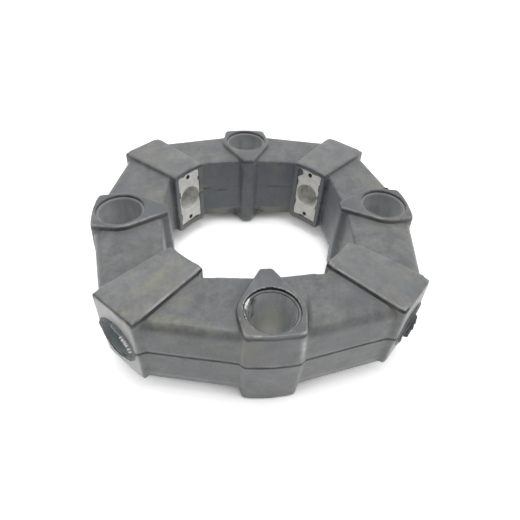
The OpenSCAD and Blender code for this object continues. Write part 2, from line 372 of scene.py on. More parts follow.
def add_piece(name, mesh, slot, material, *nodes):
    """Links a finished mesh as a piece that rides on the body and may stand for solids."""
    piece = linked(name, mesh)
    mesh.polygons.foreach_set("use_smooth", [True] * len(mesh.polygons))
    mesh.materials.clear()
    mesh.materials.append(material)
    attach(piece, BODY)
    if nodes:
        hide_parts(*nodes)


class Level:
    """An output of a shader tree. Those that are numbers take part in plain arithmetic."""

    def __init__(self, paint, socket):
        self.paint = paint
        self.socket = socket

    def maths(self, operation, *others):
        """Adds a Math node that takes this output first, and gives its output."""
        made = self.paint.node("Math", operation=operation)
        for target, value in zip(made.inputs, (self, *others)):
            self.paint.join(value, target)
        return self.paint.out(made)

    def __add__(self, other):
        return self.maths("ADD", other)

    def __sub__(self, other):
        return self.maths("SUBTRACT", other)

    def __rsub__(self, other):
        return self.maths("MULTIPLY_ADD", -1.0, other)

    def __mul__(self, other):
        return self.maths("MULTIPLY", other)

    def __abs__(self):
        return self.maths("ABSOLUTE")

    __radd__ = __add__

    def ramp(self, low, high):
        """Rises smoothly from 0 at one value to 1 at another, which may be the lower one."""
        return self.paint.out(self.paint.node(
            "MapRange", interpolation_type="SMOOTHSTEP", Value=self, From_Min=low, From_Max=high))


class Paint:
    """A shader tree, with short ways to add its nodes and join them."""

    def __init__(self, tree):
        self.tree = tree

    def join(self, value, target):
        """Joins an output to an input, or gives the input a plain value."""
        if isinstance(value, Level):
            self.tree.links.new(value.socket, target)
        elif target.type == "RGBA":
            target.default_value = (*value, 1)
        else:
            target.default_value = value

    def node(self, kind, **values):
        """Adds a node. Keys that name an input fill that input, and others set a property."""
        made = self.tree.nodes.new("ShaderNode" + kind)
        for key, value in values.items():
            label = key.replace("_", " ")
            if label in made.inputs:
                self.join(value, made.inputs[label])
            else:
                setattr(made, key, value)
        return made

    def out(self, made, label=0):
        """An output of a node."""
        return Level(self, made.outputs[label])

    def parts(self, vector):
        """The three parts of a vector."""
        split = self.node("SeparateXYZ", Vector=vector)
        return [self.out(split, label) for label in "XYZ"]

    def normal(self):
        """The three parts of the surface's direction."""
        return self.parts(self.out(self.node("NewGeometry"), "Normal"))

    def blend(self, mask, first, second):
        """Mixes two colours, each an output or a plain colour, by a mask."""
        made = self.node("Mix", data_type="RGBA", Factor=mask)
        self.join(first, made.inputs[6])
        self.join(second, made.inputs[7])
        return self.out(made, 2)

    def coated(self, colour, *coats):
        """Lays tones over a colour in turn, each through its mask."""
        for mask, tone in coats:
            colour = self.blend(mask, colour, tone)
        return colour

    def mixed(self, mask, first, second):
        """Mixes two shaders by a mask."""
        made = self.node("MixShader")
        for value, target in zip((mask, self.out(first), self.out(second)), made.inputs):
            self.join(value, target)
        return made

    def placed(self, turn=(0, 0, 0), stretch=(1, 1, 1), shift=(0, 0, 0)):
        """Object coordinates, turned in degrees, stretched and shifted."""
        return self.out(self.node(
            "Mapping", Scale=stretch, Location=shift, Rotation=[math.radians(angle) for angle in turn],
            Vector=self.out(self.node("TexCoord"), "Object")))

    def smudge(self, middle, degrees, half_sizes):
        """A soft oval mask at a place on the part, in millimetres and degrees."""
        inside = self.out(self.node(
            "Mapping", vector_type="TEXTURE", Location=[value * MM for value in middle],
            Rotation=(0, 0, math.radians(degrees)), Scale=[value * MM for value in half_sizes],
            Vector=self.out(self.node("TexCoord"), "Object")))
        return self.out(self.node("TexGradient", gradient_type="SPHERICAL", Vector=inside), "Fac")

    def mark(self, name):
        """A mask that the mesh carries."""
        return self.out(self.node("Attribute", attribute_name=name), "Fac")

    def effect(self, name, vector, **values):
        """Places a shared effect, made once, and gives its output."""
        made = self.node("Group")
        made.node_tree = bpy.data.node_groups.get(name) or GROUP_MAKERS[name]()
        for key, value in (("Vector", vector), *values.items()):
            self.join(value, made.inputs[key.replace("_", " ")])
        return self.out(made)

    def cloud(self, vector, scale, detail, low, high):
        """Soft patches where a noise passes from one value to another."""
        return self.effect("Cloudy Patches", vector, Scale=scale, Detail=detail, From=low, To=high)

    def grain(self, vector, scale, coarse_share):
        """Fine grain, as a height."""
        return self.effect("Fine Grain", vector, Scale=scale, Coarse_Share=coarse_share)

    def finish(self, shader, height, distance):
        """Puts a bump on a shader and joins it to the output."""
        bump = self.node("Bump", Distance=distance, Strength=1.0, Height=height)
        self.join(self.out(bump), shader.inputs["Normal"])
        self.node("OutputMaterial", Surface=self.out(shader))


def new_paint(name):
    """A new material and its empty tree."""
    material = bpy.data.materials.new(name)
    material.use_nodes = True
    material.node_tree.nodes.clear()
    return material, Paint(material.node_tree)


def new_group(name, output, **inputs):
    """A shader group with a vector, some numbers and one output: its tree, inputs and end."""
    tree = bpy.data.node_groups.new(name, "ShaderNodeTree")
    tree.interface.new_socket("Vector", in_out="INPUT", socket_type="NodeSocketVector")
    for key, value in inputs.items():
        socket = tree.interface.new_socket(
            key.replace("_", " "), in_out="INPUT", socket_type="NodeSocketFloat")
        socket.default_value = value
    tree.interface.new_socket(output, in_out="OUTPUT", socket_type="NodeSocketFloat")
    paint = Paint(tree)
    start = tree.nodes.new("NodeGroupInput")
    given = [Level(paint, start.outputs[number]) for number in range(len(inputs) + 1)]
    return paint, given, tree.nodes.new("NodeGroupOutput").inputs[0]


def cloudy_group():
    """Soft patches: a mask that rises where a noise passes from one value to another."""
    paint, given, end = new_group("Cloudy Patches", "Mask", Scale=50.0, Detail=3.0, From=0.4, To=0.6)
    vector, scale, detail, low, high = given
    noisy = paint.node("TexNoise", Roughness=0.55, Vector=vector, Scale=scale, Detail=detail)
    paint.join(paint.out(noisy).ramp(low, high), end)
    return paint.tree


def speck_group():
    """Small round specks, scattered at random, each with a soft edge."""
    paint, given, end = new_group("Scattered Specks", "Mask", Scale=500.0, Size=0.25, Share=0.3)
    vector, scale, size, share = given
    cells = paint.node("TexVoronoi", Randomness=1.0, Vector=vector, Scale=scale)
    chance = paint.out(paint.node("SeparateColor", Color=paint.out(cells, "Color")))
    present = chance.maths("LESS_THAN", share)
    paint.join(paint.out(cells, "Distance").ramp(size, 0.0) * present, end)
    return paint.tree


def grain_group():
    """Fine uneven grain of a moulded or cast face, as a height between 0 and 1."""
    paint, given, end = new_group("Fine Grain", "Height", Scale=900.0, Coarse_Share=0.4)
    vector, scale, share = given
    fine = paint.out(paint.node("TexNoise", Detail=2.0, Roughness=0.6, Vector=vector, Scale=scale))
    coarse = paint.out(paint.node("TexNoise", Detail=3.0, Roughness=0.6, Vector=vector, Scale=scale * 0.22))
    paint.join(paint.out(paint.node("Mix", Factor=share, A=fine, B=coarse)), end)
    return paint.tree


GROUP_MAKERS = {"Cloudy Patches": cloudy_group, "Scattered Specks": speck_group, "Fine Grain": grain_group}


def parting_line(paint, place):
    """The dark line where the mould's halves met, and the paler lines beside it."""
    size = sizes()
    width, wander = size.parting_half_width, 0.5 * MM
    uneven = paint.out(paint.node("TexNoise", Scale=60.0, Detail=2.0, Vector=place))
    off = abs(paint.parts(place)[2] + uneven * wander - (size.parting_z + wander / 2))
    crossed = paint.mark("parting")
    line = off.ramp(2.1 * width, 0.5 * width) * crossed
    rims = off.ramp(3.2 * width, 2.3 * width) * off.ramp(1.3 * width, 2.0 * width) * crossed
    return line, rims


def top_edges(paint, place):
    """Painted highlight along the upper edges that face the front, painted shade on the walls just below the
    upper edges, and painted shade on the upper edges at the left blocks' outer ends.
    """
    face = sizes().block_face
    x, y, z = paint.parts(place)
    _, backwards, upwards = paint.normal()
    reach = (abs(x) + abs(y)) * math.sqrt(0.5)
    edge = z.ramp(53.0 * MM, 53.7 * MM) * upwards.ramp(0.992, 0.90) * upwards.ramp(0.35, 0.6)
    inner = reach.ramp(face - 1.4 * MM, face - 2.2 * MM)
    on_boss = abs(x).ramp(24 * MM, 20 * MM)
    end_fade, right_side = reach.ramp(99 * MM, 88 * MM), x.ramp(-30 * MM, -20 * MM)
    near = y.ramp(10 * MM, -20 * MM) * backwards.ramp(-0.02, -0.2) * (0.62 + on_boss * 0.38)
    # Painted highlight along the upper edges that face the front, fading towards the outer ends except on
    # the right
    highlight_strip = edge * inner * near * end_fade.maths("MAXIMUM", right_side)
    # Painted shade on the upper edges at the outer ends of the left blocks
    outer = edge * (1.0 - inner) * x.ramp(10 * MM, -10 * MM)
    # Painted shade on the walls just below the upper edges
    wall = upwards.ramp(0.93, 0.75) * reach.ramp(face - 0.7 * MM, face - 1.2 * MM)
    shade_band = z.ramp(51.5 * MM, 52.1 * MM) * z.ramp(53.9 * MM, 53.3 * MM) * wall
    return highlight_strip, shade_band, outer


def highlit_upright_edge(paint):
    """A mask for upright edges that face the right and the front, where a highlight is painted."""
    rightwards, backwards, upwards = paint.normal()
    return abs(upwards).ramp(0.5, 0.25) * rightwards.ramp(0.15, 0.5) * backwards.ramp(0.0, -0.3)


def torn_rubber():
    """Fresh dark rubber of the torn collars, pale where it has frayed and where highlights are painted on
    its rims.
    """
    material, paint = new_paint("Torn Rubber")
    tones = colours()
    plain = paint.placed()
    mottle = paint.cloud(plain, 420.0, 4.0, 0.35, 0.65)
    torn = paint.mark("torn")
    colour = paint.coated(
        # Pale frayed rubber, painted highlights on rims and bits, and black crumbs
        tones.fresh, (mottle, tones.fresh * 1.7), (torn, tones.torn),
        (torn.maths("LESS_THAN", -0.5), tones.dirt))
    shader = paint.node("BsdfPrincipled", IOR=1.5, Base_Color=colour, Roughness=0.42 + mottle * 0.15)
    paint.finish(shader, paint.grain(plain, 1300.0, 0.6), 0.25 * MM)
    return material


def moulded_rubber():
    """Dull moulded rubber with dust, smudges and grime, pale wear and painted highlights on its edges,
    painted light on its outer ends and inner skirts, and painted shade in its hollows, recesses, shoulders
    and under its upper edges.
    """
    material, paint = new_paint("Moulded Rubber")
    tones = colours()
    plain = paint.placed()
    wide = paint.cloud(plain, 32.0, 2.0, 0.42, 0.66)
    mottle = paint.cloud(plain, 260.0, 5.0, 0.34, 0.66)
    fine = paint.cloud(plain, 800.0, 3.0, 0.36, 0.64)
    blotch = paint.cloud(paint.placed(shift=(0.11, 0.07, 0.19)), 95.0, 4.0, 0.40, 0.62)
    streak = paint.cloud(paint.placed(turn=(0, 0, 38), stretch=(1, 0.22, 1)), 120.0, 3.0, 0.50, 0.68)
    warm = paint.cloud(paint.placed(shift=(0.31, 0.12, 0.07)), 42.0, 3.0, 0.50, 0.66)
    cool = paint.cloud(paint.placed(shift=(0.05, 0.42, 0.23)), 46.0, 2.0, 0.50, 0.68)
    uneven = paint.cloud(paint.placed(shift=(0.02, 0.31, 0.4)), 70.0, 2.0, 0.40, 0.58)
    specks = paint.effect("Scattered Specks", plain, Scale=700.0, Size=0.30, Share=0.10)
    film = wide * 0.14 + mottle * 0.22 + blotch * 0.24 + streak * 0.14 + fine * 0.16
    film += paint.mark("dusty") * 0.12 - paint.mark("boss_top") * 0.35 - paint.mark("leg_top") * 0.12
    colour = paint.coated(
        # Dust and painted light on the blocks' outer ends and in their holes, and painted shade on the
        # shoulders
        tones.rubber * 0.88, (film, tones.dust), (paint.mark("end_face") * 0.85, END_DUST_AND_LIGHT),
        (paint.mark("screw_hole") * 0.9, HOLE_DUST_AND_LIGHT), (paint.mark("shoulder") * 0.22, tones.dirt),
        (paint.mark("inner_wall") * 0.55, tones.blue * 1.12),
        # Painted light on the inner skirts, lit by the floor
        (paint.mark("skirt") * 0.8, tones.olive * 1.15), (warm * 0.35, tones.olive),
        (cool * 0.35, tones.blue), (specks * 0.35, tones.dust))
    for middle, degrees, half_sizes, tone, strength in SMUDGES:
        spot = paint.smudge(middle, degrees, half_sizes) * (0.5 * strength + mottle * strength)
        colour = paint.blend(spot, colour, getattr(tones, tone))
    # Pale wear on convex edges, with a painted highlight on upright edges that face the right and the front
    wear_and_highlight = paint.mark("worn_edge") * (mottle * 0.5 + highlit_upright_edge(paint) * 0.6)
    line, rims = parting_line(paint, plain)
    highlight_strip, shade_band, outer = top_edges(paint, plain)
    far = paint.parts(plain)[1].ramp(10 * MM, -40 * MM)
    # The painted shade below the upper edges is stronger towards the front
    shade_band = shade_band * (0.30 + (far * 0.45 + uneven * 0.28))
    highlight_strip = highlight_strip * (0.2 + (mottle * 0.35 + uneven * 0.55))
    colour = paint.coated(
        # Pale wear and painted highlights on convex edges, and painted shade in the hollows
        colour, (wear_and_highlight, tones.dust * 1.2), (paint.mark("hollow") * 0.6, tones.dirt),
        # Paler lines beside the parting line, the dark parting line, painted shade under the upper edges and
        # the painted highlight along them
        (rims * 0.35, tones.dust), (line * 0.75, tones.dirt), (shade_band, tones.dirt), (highlight_strip, tones.pale),
        # Painted shade on the left blocks' outer upper edges and in the recesses over the sleeves
        (outer * 0.55, tones.dirt), (paint.mark("recess"), tones.dirt * 0.6))
    shader = paint.node(
        "BsdfPrincipled", IOR=1.5, Sheen_Weight=0.2, Sheen_Roughness=0.4, Base_Color=colour,
        Roughness=0.36 + (mottle * 0.14 - highlight_strip * 0.16))
    paint.finish(shader, paint.grain(plain, 1100.0, 0.6), 0.2 * MM)
    return material


def sleeve_steel():
    """Turned steel: a dull end ring, and a grey film with faint streaks inside."""
    material, paint = new_paint("Sleeve Steel")
    tones = colours()
    plain = paint.placed()
    streaks = paint.cloud(paint.placed(stretch=(1, 1, 0.10)), 300.0, 4.0, 0.38, 0.66)
    patches = paint.cloud(plain, 110.0, 4.0, 0.38, 0.64)
    fine = paint.cloud(plain, 500.0, 3.0, 0.35, 0.65)
    inside = paint.coated(
        tones.sleeve_film, (streaks * 0.5 + patches * 0.5, tones.sleeve_streak),
        (paint.smudge(*TAN_STAIN) * (0.5 + patches), SLEEVE_TAN))
    for middle, degrees, half_sizes, tone, strength in BORE_MARKS:
        spot = paint.smudge(middle, degrees, half_sizes) * (0.4 * strength + fine * strength)
        inside = paint.blend(spot, inside, tone)
    _, y, z = paint.parts(plain)
    away = y.ramp(-60 * MM, -50 * MM)
    # Painted shade near the upper ends inside all but the front sleeve
    inside = paint.blend(away * z.ramp(44 * MM, 53 * MM) * 0.75, inside, SLEEVE_SHADE)
    lines = from_bolt_axis(paint, plain).ramp(12.25 * MM, 12.55 * MM) * (0.6 + fine * 0.4)
    end = paint.coated(
        SLEEVE_LINE, (away.maths("MAXIMUM", lines), tones.sleeve), (away, tones.sleeve * 0.95))
    upwards = paint.normal()[2]
    ring = upwards.maths("GREATER_THAN", 0.3)
    shader = paint.node("BsdfPrincipled", Metallic=0.25, Base_Color=paint.blend(ring, inside, end),
                        Roughness=0.42 + patches * 0.2)
    paint.finish(shader, paint.grain(paint.placed(stretch=(1, 1, 0.3)), 1100.0, 0.5), 0.08 * MM)
    return material


def from_bolt_axis(paint, place):
    """Distance from the nearest upright bolt axis; the four lie on the X and Y axes."""
    x, y = (abs(part) for part in paint.parts(place)[:2])
    return length_of(x.maths("MAXIMUM", y) - BOLT_CIRCLE_R, x.maths("MINIMUM", y))


def length_of(first, second):
    """Length of a vector in a plane, from its two parts."""
    return (first * first + second * second).maths("SQRT")


def insert_metal():
    """Matt bare metal with fine dark specks, darker and browner inside its bolt holes, with painted shade
    inside its small holes.
    """
    material, paint = new_paint("Bare Insert Metal")
    tones = colours()
    plain = paint.placed()
    x, y, z = paint.parts(paint.placed(turn=(0, 0, 45), shift=(0, 0, -sizes().parting_z)))
    across = abs(x).maths("MINIMUM", abs(y))
    bore = length_of(across, z).maths("LESS_THAN", BORE_MASK_R)
    pin = length_of(across, abs(z) - PIN_OFFSET).maths("LESS_THAN", PIN_MASK_R)
    specks = paint.effect("Scattered Specks", plain, Scale=1100.0, Size=0.36, Share=0.45)
    smears = paint.cloud(plain, 160.0, 4.0, 0.42, 0.66)
    hole = paint.blend(smears, tones.bore, tones.bore * 0.7)
    colour = paint.coated(
        tones.insert, (specks * 0.75, INSERT_SPECK), (smears * 0.25, INSERT_SMEAR), (bore, hole),
        (pin, PIN_HOLE_SHADE))
    shader = paint.node("BsdfPrincipled", Metallic=0.15, Base_Color=colour, Roughness=0.5 + specks * 0.2)
    paint.finish(shader, paint.grain(plain, 1400.0, 0.4), 0.08 * MM)
    return material


def baked(piece, name):
    """The piece's mesh with its modifiers applied. The piece itself is removed."""
    graph = bpy.context.evaluated_depsgraph_get()
    mesh = bpy.data.meshes.new_from_object(piece.evaluated_get(graph), depsgraph=graph)
    mesh.name = name
    bpy.data.objects.remove(piece)
    return mesh


def even_skin(source, name):
    """A fine even skin over a solid, with edges softened as rubber comes out of a mould."""
    joined = edited(
        source.data.copy(), lambda bm: bmesh.ops.remove_doubles(bm, verts=bm.verts, dist=MERGE_GAP))
    piece = linked(name, joined)
    skin = piece.modifiers.new("Even skin", "REMESH")
    skin.mode = "VOXEL"
    skin.voxel_size = sizes().skin_step
    soften = piece.modifiers.new("Soft edges", "SMOOTH")
    soften.factor = 0.5
    soften.iterations = sizes().edge_passes
    return baked(piece, name)


def lighter_skin(mesh, name):
    """Lets the skin wander slightly inwards from flat, and drops the faces it can spare."""
    piece = linked(name, mesh)
    clouds = bpy.data.textures.new("Slow waves", "CLOUDS")
    clouds.noise_scale = sizes().wave_length
    waves = piece.modifiers.new("Slow waves", "DISPLACE")
    waves.texture = clouds
    waves.texture_coords = "LOCAL"
    waves.strength = sizes().wave_height
    waves.mid_level = 1.0
    thin = piece.modifiers.new("Lighter skin", "DECIMATE")
    thin.ratio = sizes().skin_share
    return baked(piece, name)


def directions(degrees):
    """Outwards and anticlockwise directions at a station."""
    angle = math.radians(degrees)
    return Vector((math.cos(angle), math.sin(angle), 0)), Vector((-math.sin(angle), math.cos(angle), 0))


def round_corners(bm):
    """Rounds the upright corners at both ends of the blocks."""
    size = sizes()
    margin = size.corner_reach
    for name, degrees in BLOCKS.items():
        out, side = directions(degrees)
        near = []
        for vert in bm.verts:
            reach, across = vert.co.dot(out), abs(vert.co.dot(side))
            outer = reach > size.block_face - margin and across > size.block_half_width - margin
            hub = abs(reach - HUB_FACE) < margin and across > size.hub_half_width - 0.7 * margin
            on_block = across < size.block_half_width + margin
            if (outer or hub) and on_block and not in_hole(vert.co):
                near.append(vert)
        for _ in range(size.corner_passes + MORE_CORNER_PASSES.get(name, 0)):
            bmesh.ops.smooth_vert(
                bm, verts=near, factor=0.5, use_axis_x=True, use_axis_y=True, use_axis_z=True)


def flatten_bosses(bm):
    """Takes part of the bulge off the bosses' outer faces, as the moulding shows."""
    size = sizes()
    for degrees in BOSSES.values():
        out, _ = directions(degrees)
        for vert in bm.verts:
            above = abs(vert.co.z - size.parting_z)
            span = BOSS_TOP - size.parting_z if vert.co.z > size.parting_z else size.parting_z
            base = size.boss_face + size.boss_swell * max(0.0, 1 - above / span)
            bulge = vert.co.dot(out) - base
            if bulge > 0:
                vert.co -= out * (bulge * (1 - size.bulge_kept))


def press_parting_line(bm):
    """Cuts the groove where the mould's halves met and presses it in, least on the inner walls."""
    size = sizes()
    for step in (-1, -0.4, 0.4, 1):
        bmesh.ops.bisect_plane(
            bm, geom=bm.verts[:] + bm.edges[:] + bm.faces[:], dist=1e-7,
            plane_co=(0, 0, size.parting_z + step * size.parting_half_width), plane_no=(0, 0, 1))
    bm.normal_update()
    parting = bm.verts.layers.float.new("parting")
    inner_r, fade = 72 * MM, 8 * MM
    inwards = {}
    for vert in bm.verts:
        off = abs(vert.co.z - size.parting_z)
        if off > 4 * MM or abs(vert.normal.z) > 0.5 or in_hole(vert.co):
            continue
        outer = min(1.0, max(0.0, (vert.co.xy.length - inner_r) / fade))
        patchy = 0.12 + 0.7 * max(0.0, noise.noise(vert.co * 110) - 0.15)
        vert[parting] = outer + (1 - outer) * patchy
        if off < 0.5 * size.parting_half_width:
            depth = size.parting_depth * (0.85 + 0.5 * noise.noise(vert.co * 180)) * (0.08 + 0.92 * outer)
            inwards[vert] = Vector((vert.normal.x, vert.normal.y, 0)).normalized() * -depth
    for vert, move in inwards.items():
        vert.co += move


def bolt_axes():
    """Where the axes of the upright bolt holes pass."""
    return [directions(degrees)[0] * BOLT_CIRCLE_R for degrees in BOSSES.values()]


def in_hole(place):
    """Whether a place lies in or on the rim of one of the bolt holes."""
    above = place.z - sizes().parting_z
    for degrees in BLOCKS.values():
        out, side = directions(degrees)
        if place.dot(out) > 60 * MM and math.hypot(place.dot(side), above) < BLOCK_HOLE_R:
            return True
    return any((place - axis).xy.length < BOSS_HOLE_R for axis in bolt_axes())


def collar_height(name, angle):
    """Height of a torn collar at an angle round its hole, between its measured heights."""
    keys = COLLAR_HEIGHTS[name]
    keys = (*keys, (keys[0][0] + 360, keys[0][1]))
    degrees = (math.degrees(angle) - keys[0][0]) % 360 + keys[0][0]
    for (start, low), (stop, high) in zip(keys, keys[1:]):
        if start <= degrees <= stop:
            share = (degrees - start) / (stop - start)
            share = share * share * (3 - 2 * share)
            return (low + (high - low) * share) * MM
    return keys[0][1] * MM


def lower_lips(bm):
    """Lowers the moulded lips under their torn collars."""
    size = sizes()
    for name, degrees in BLOCKS.items():
        out, side = directions(degrees)
        for vert in bm.verts:
            height = vert.co.dot(out) - size.block_face
            if height > 0.1 * MM:
                angle = math.atan2(vert.co.z - size.parting_z, vert.co.dot(side))
                kept = 0.45 * min(1.0, collar_height(name, angle) / size.lip_height)
                vert.co -= out * (height * (1 - kept))


def evened(values, pairs, counts, passes):
    """Point values averaged with their neighbours, several times."""
    for _ in range(passes):
        total = values.copy()
        np.add.at(total, pairs[:, 0], values[pairs[:, 1]])
        np.add.at(total, pairs[:, 1], values[pairs[:, 0]])
        values = total / (counts + 1)
    return values


def write_mark(mesh, name, values):
    """Stores a mask between 0 and 1 on the points of a mesh."""
    layer = mesh.attributes.new(name, "FLOAT", "POINT")
    layer.data.foreach_set("value", np.clip(values, 0, 1).astype(np.float32))


def points_of(mesh):
    """A mesh's points, their normals, the pairs that edges join, and each point's edges."""
    count = len(mesh.vertices)
    place = np.empty(count * 3)
    normal = np.empty(count * 3)
    pairs = np.empty(len(mesh.edges) * 2, dtype=np.int64)
    mesh.vertices.foreach_get("co", place)
    mesh.vertices.foreach_get("normal", normal)
    mesh.edges.foreach_get("vertices", pairs)
    pairs = pairs.reshape(-1, 2)
    return place.reshape(-1, 3), normal.reshape(-1, 3), pairs, np.bincount(pairs.ravel(), minlength=count)


def mark_edges(mesh):
    """Marks how far each point stands out on an edge or lies in a hollow."""
    place, normal, pairs, counts = points_of(mesh)
    along = place[pairs[:, 1]] - place[pairs[:, 0]]
    square = np.maximum((along ** 2).sum(axis=1), (0.15 * MM) ** 2)
    bend = np.zeros(len(place))
    np.add.at(bend, pairs[:, 0], -2 * (normal[pairs[:, 0]] * along).sum(axis=1) / square)
    np.add.at(bend, pairs[:, 1], 2 * (normal[pairs[:, 1]] * along).sum(axis=1) / square)
    bend = evened(bend / np.maximum(counts, 1), pairs, counts, 1)
    write_mark(mesh, "worn_edge", evened(np.clip(bend * 1.3 * MM - 0.15, 0, 1), pairs, counts, 1))
    write_mark(mesh, "hollow", evened(np.clip(-bend * 1.8 * MM, 0, 1), pairs, counts, 2))


def mark_places(mesh):
    """Marks the recesses over the sleeves and the legs' shoulders, which get painted shade, the blocks'
    outer ends and their holes, which get dust and painted light, the inner skirts, which get painted light,
    and the dusty faces and the cooler inner walls.
    """
    size = sizes()
    place, normal, pairs, counts = points_of(mesh)
    x, y, z = place.T
    upwards = normal[:, 2]
    flat_up = upwards > 0.9
    reach = (np.abs(x) + np.abs(y)) * math.sqrt(0.5)
    across = np.hypot((np.abs(x) - np.abs(y)) * math.sqrt(0.5), z - size.parting_z)
    radius = np.hypot(x, y)
    outwards = (normal[:, 0] * x + normal[:, 1] * y) / np.maximum(radius, MM)
    inwards = outwards < -0.5
    from_bolt = np.min([np.hypot(x - axis.x, y - axis.y) for axis in bolt_axes()], axis=0)
    top = z > 53.6 * MM
    front_left = (x < 0) & (y < 0)
    front_hole = y < -60 * MM
    on_leg = (np.minimum(np.abs(x), np.abs(y)) > 10 * MM) & (reach < 56 * MM)
    # Walls of the recesses over the sleeves get painted shade, most at the front
    recess = (from_bolt < 13.75 * MM) & (z > 52 * MM) & (np.abs(upwards) < 0.75)
    # The blocks' outer ends and the holes in them get dust and painted light, most on the front-left block
    end_face = (reach > size.block_face - 0.8 * MM) & (outwards > 0.8)
    screw_hole = (reach > 87 * MM) & (across < 13 * MM)
    # Shoulders of the legs' outer top edges get painted shade
    shoulder = (upwards > 0.4) & (upwards < 0.92) & (outwards > 0.2)
    marks = {
        "recess": recess * (0.38 + 0.62 * front_hole),
        "dusty": flat_up & top & (from_bolt > 34 * MM),
        "boss_top": flat_up & top & (from_bolt < 32 * MM),
        "leg_top": flat_up & (z > 48 * MM) & (z < 53 * MM),
        "end_face": end_face * (0.45 + 0.55 * front_left),
        "shoulder": shoulder & (z > 45 * MM) & (z < 52 * MM),
        "screw_hole": screw_hole * (0.3 + 0.7 * front_left),
        "inner_wall": inwards & (np.abs(upwards) < 0.5) & (z > 13.5 * MM),
        # Inner skirts, which get painted light from the floor
        "skirt": inwards & (z < 12.5 * MM) & (radius < 70 * MM) & on_leg}
    for name, held in marks.items():
        write_mark(mesh, name, evened(held.astype(float), pairs, counts, 0 if name == "recess" else 2))


class COUPLING_OT_rubber_body(bpy.types.Operator):
    """Makes the moulded rubber body with soft edges and its parting line"""

    bl_idname = "coupling.rubber_body"
    bl_label = "Rubber body"

    def execute(self, context):
        mesh = edited(even_skin(frame["nodes"]["rubber_body"], "even_body"), round_corners)
        mesh = lighter_skin(mesh, "moulded_body")
        edited(mesh, flatten_bosses, press_parting_line, lower_lips, face_outwards)
        mark_edges(mesh)
        mark_places(mesh)
        add_piece("moulded_body", mesh, "rubber", moulded_rubber(), "rubber_body")
        return {"FINISHED"}


class COUPLING_OT_torn_collars(bpy.types.Operator):
    """Makes the thin torn rubber collar round the outer end of each radial hole"""

    bl_idname = "coupling.torn_collars"
    bl_label = "Torn collars"

    steps = 300

    def execute(self, context):
        material = torn_rubber()
        for number, (name, degrees) in enumerate(BLOCKS.items()):
            seed = Vector((number * 7.3, 2.1, 0))
            mesh = bpy.data.meshes.new("torn_collar_" + name)
            edited(mesh, lambda bm: self.collar(bm, name, degrees, seed), face_outwards)
            add_piece("torn_collar_" + name, mesh, "rubber", material)
        return {"FINISHED"}

    def collar(self, bm, name, degrees, seed):
        """One collar: a thin closed section spun about the hole's axis, with a ragged rim."""
        size = sizes()
        out, side = directions(degrees)
        centre = out * size.block_face + Vector((0, 0, size.parting_z))
        outer = size.collar_bore + size.collar_wall
        section = ((outer + size.collar_flare, -0.3), (outer + 0.5 * size.collar_flare, 0.12),
                   (outer + 0.15 * size.collar_flare, 0.35), (outer - 0.25 * MM, 0.75),
                   (outer - 0.55 * MM, 1.0), (outer - 0.55 * MM - size.collar_rim, 0.97),
                   (size.collar_bore + 0.25 * MM, 0.5), (size.collar_bore, -0.3))
        share = bm.verts.layers.float.new("share")
        verts = []
        for radius, height in section:
            vert = bm.verts.new(centre + side * radius)
            vert[share] = height
            verts.append(vert)
        edges = [bm.edges.new(pair) for pair in zip(verts, verts[1:] + verts[:1])]
        bmesh.ops.spin(bm, geom=verts + edges, cent=centre, axis=out, angle=2 * math.pi,
                       steps=self.steps, use_merge=True)
        torn = bm.verts.layers.float.new("torn")
        for vert in bm.verts:
            self.tear(vert, vert[share], name, out, side, centre, seed, torn)
        bm.verts.layers.float.remove(share)

    def tear(self, vert, share, name, out, side, centre, seed, torn):
        """Lifts a point of the section to its ragged height and lets the thin rubber lean."""
        if share <= 0:
            vert.co += out * (share * MM)
            return
        across = vert.co - centre
        angle = math.atan2(across.z, across.dot(side))
        degrees = math.degrees(angle)
        radial = across.normalized()
        ring = Vector((math.cos(angle), math.sin(angle), 0))
        ragged = 0.16 * noise.noise(ring * 4 + seed) + 0.30 * noise.noise(ring * 14 + seed)
        nicks = 0.35 * max(0.0, noise.noise(ring * 42 + seed)) * share
        height = max(0.12 * MM, collar_height(name, angle) * (1 + ragged) - nicks * MM)
        lean = (0.30 * noise.noise(ring * 3 + seed * 2) + 0.14 * noise.noise(ring * 17 + seed)) * share
        vert.co += out * (height * share) + radial * (lean * MM)
        # Pale spots on the rims; on the front-left collar, a painted highlight on the near rim and the white
        # teeth
        if share > 0.95:
            vert[torn] = 0.3 * min(1.0, max(0.0, (noise.noise(ring * 30 + seed * 3) - 0.25) * 2.5))
            start, stop, paleness = HIGHLIT_RIMS.get(name, (0, 0, 0))
            if name in HIGHLIT_RIMS and math.cos(angle) < 0:
                vert[torn] = 0.0
            if start < degrees < stop:
                vert[torn] = paleness * (0.75 + 0.4 * noise.noise(ring * 60 + seed))
        elif name in HIGHLIT_RIMS and math.cos(angle) > 0:
            vert[torn] = 0.10 + 0.12 * max(0.0, noise.noise(ring * 50 + seed))
        teeth = HIGHLIT_TEETH.get(name, ())
        if share > 0.7 and any(abs(degrees - tooth) < TOOTH_HALF_DEGREES for tooth in teeth):
            vert[torn] = 1.0
            vert.co += out * (0.4 * MM * share)


def ragged_lump(bm, place, half_sizes, ways, torn, paleness, seed):
    """A small ragged lump of rubber, given its place, half sizes and their directions."""
    turn = Matrix(ways).transposed().to_4x4()
    form = Matrix.Translation(place) @ turn @ Matrix.Diagonal((*half_sizes, 1))
    lump = bmesh.ops.create_icosphere(bm, subdivisions=3, radius=1.0, matrix=form)
    for vert in lump["verts"]:
        away = vert.co - place
        vert.co = place + away * (1 + 0.55 * noise.noise(vert.co * 1400 + seed))
        vert[torn] = paleness


